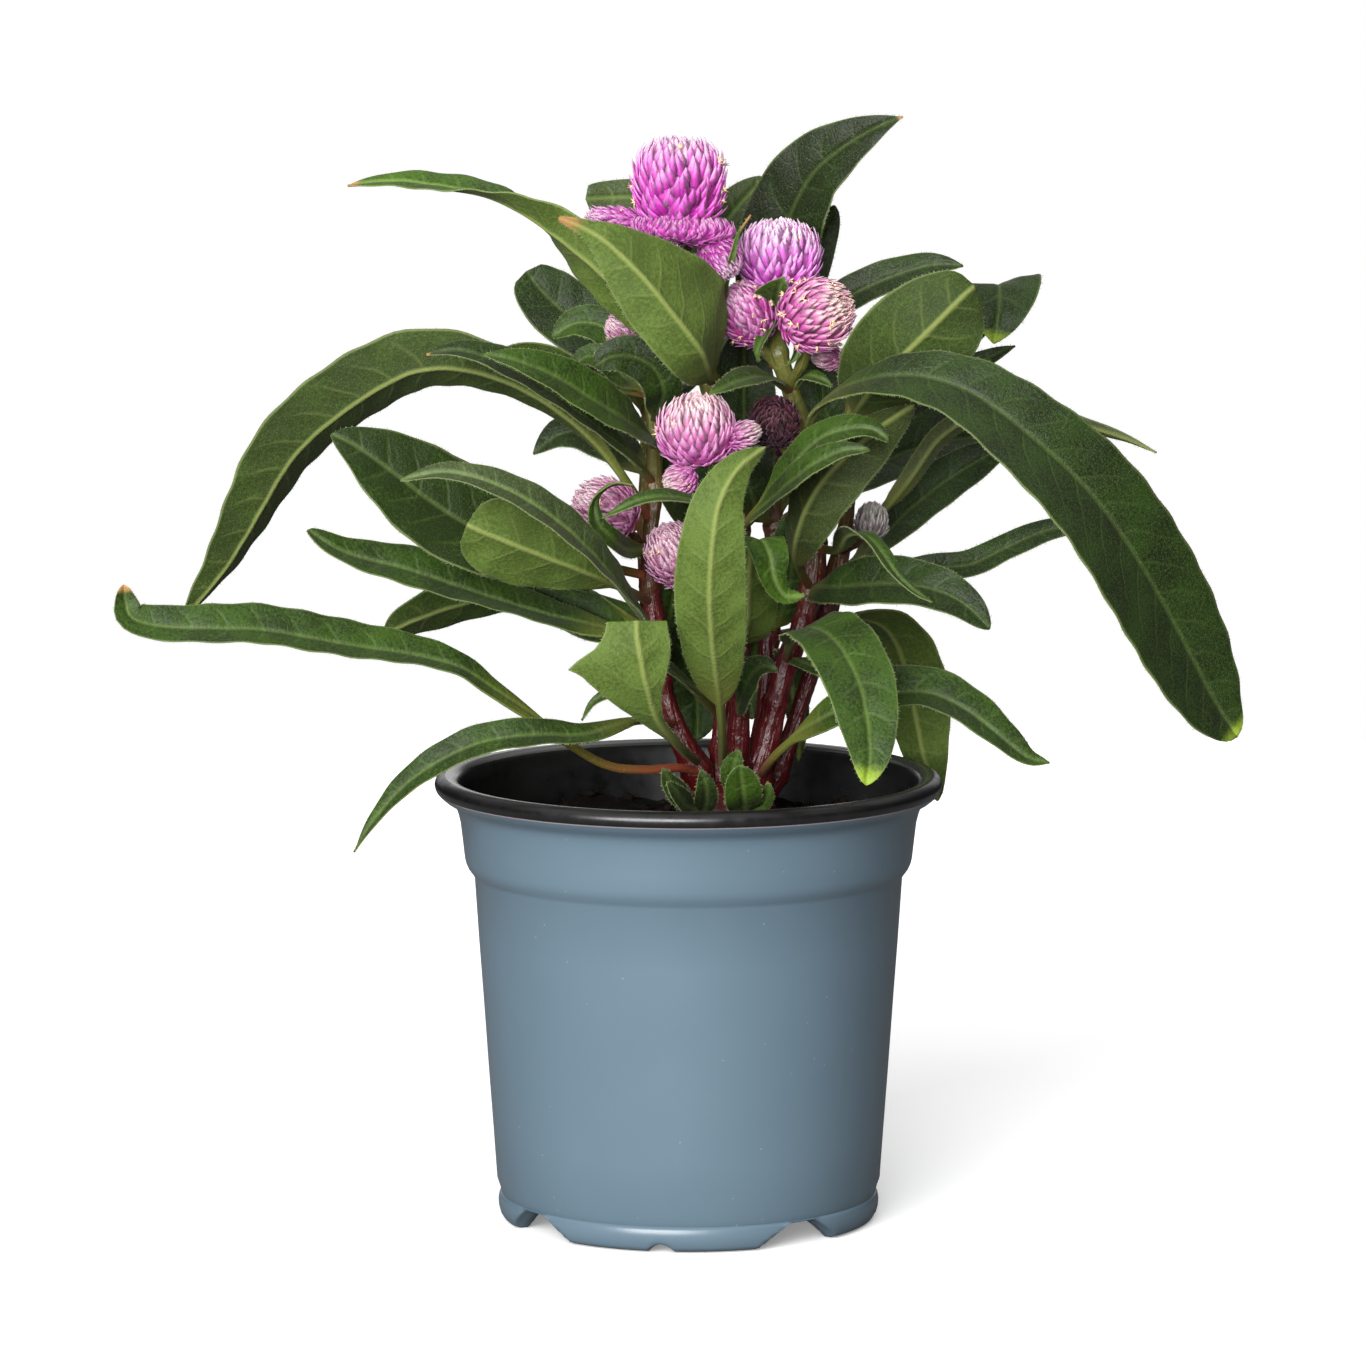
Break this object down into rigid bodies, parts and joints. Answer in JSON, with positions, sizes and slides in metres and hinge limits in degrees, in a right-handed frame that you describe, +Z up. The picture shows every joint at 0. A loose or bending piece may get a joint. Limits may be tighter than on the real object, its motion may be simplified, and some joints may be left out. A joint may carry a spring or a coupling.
{
  "type": "potted globe amaranth",
  "caption": "Bushy potted plant with arching hairy leaves, dark red stems and papery globe flower heads in a round nursery pot with a rolled rim.",
  "frame": {"origin": "centre of the surface that the pot stands on, on the axis of the pot", "axes": "+Z up along the axis of the pot; -Y towards the front, the side that the picture shows; +X to the right as seen from the front"},
  "size_m": [0.2607, 0.1431, 0.2609],
  "materials": {
    "pot_plastic": "satin blue-grey plastic outside, black inside and on the rolled rim",
    "soil": "matt dark peat potting mix, damp and crumbly",
    "stem": "smooth wine-red herbaceous stem, thinly haired, satin",
    "leaf_dark": "dark green leaf, softly haired, low sheen",
    "leaf_middle": "mid-green leaf, softly haired, low sheen",
    "leaf_light": "light green leaf underside, raised pale veins, matt",
    "leaf_grey": "grey-green leaf, densely haired, matt",
    "bract_magenta": "dry papery bracts, magenta below and pale pink above",
    "bract_pink": "dry papery bracts, pink with a cream crown",
    "bract_pale": "dry papery bracts, pale pink to cream",
    "bract_dusky": "dry papery bracts, dusky older pink",
    "bract_maroon": "dry papery bracts, very dark maroon",
    "bract_wilted": "dry papery bracts, faded grey-mauve"
  },
  "bodies": {
    "root": {"bloom_back_left": "bract_pink", "bloom_back_right": "bract_pink", "bloom_behind_leaf": "bract_dusky", "bloom_centre": "bract_pale", "bloom_half_hidden": "bract_dusky", "bloom_left": "bract_dusky", "bloom_left_small": "bract_dusky", "bloom_maroon": "bract_maroon", "bloom_right_round": "bract_pink", "bloom_small_right": "bract_dusky", "bloom_top": "bract_magenta", "bloom_upper_right": "bract_magenta", "bloom_wilted": "bract_wilted", "leaf_behind_right_drooping": "leaf_light", "leaf_centre_dark": "leaf_dark", "leaf_centre_folded": "leaf_light", "leaf_dark_curled": "leaf_dark", "leaf_dark_left": "leaf_dark", "leaf_front_broad": "leaf_light", "leaf_front_centre": "leaf_light", "leaf_front_left_light": "leaf_light", "leaf_front_right_drooping": "leaf_middle", "leaf_left_arching": "leaf_middle", "leaf_left_upper_light": "leaf_middle", "leaf_long_top_left": "leaf_light", "leaf_low_centre_small": "leaf_middle", "leaf_low_left_drooping": "leaf_middle", "leaf_low_left_long": "leaf_middle", "leaf_mid_left_broad": "leaf_middle", "leaf_mid_left_grey": "leaf_grey", "leaf_pair_back_left": "leaf_dark", "leaf_pair_back_low_left": "leaf_middle", "leaf_pair_back_low_right": "leaf_middle", "leaf_pair_back_right": "leaf_dark", "leaf_pair_back_top": "leaf_light", "leaf_pair_behind_top_bloom": "leaf_grey", "leaf_pair_left_upper": "leaf_dark", "leaf_pair_mid_left_low": "leaf_middle", "leaf_pair_right": "leaf_dark", "leaf_pair_right_behind": "leaf_dark", "leaf_pair_right_inner": "leaf_middle", "leaf_pair_right_upper": "leaf_dark", "leaf_pair_small_centre": "leaf_middle", "leaf_pair_top_right": "leaf_dark", "leaf_right_bright": "leaf_light", "leaf_right_drooping": "leaf_dark", "leaf_right_grey_narrow": "leaf_grey", "leaf_right_low": "leaf_middle", "leaf_right_narrow_curled": "leaf_middle", "leaf_round_left_bloom": "leaf_middle", "leaf_spoon": "leaf_light", "leaf_top_upright": "leaf_dark", "leaf_under_left_bloom": "leaf_middle", "pot": "pot_plastic", "shoot_base_left": "leaf_dark", "shoot_base_right": "leaf_middle", "shoot_left_curled": "leaf_middle", "soil": "soil", "stems": "stem"}
  },
  "joints": []
}
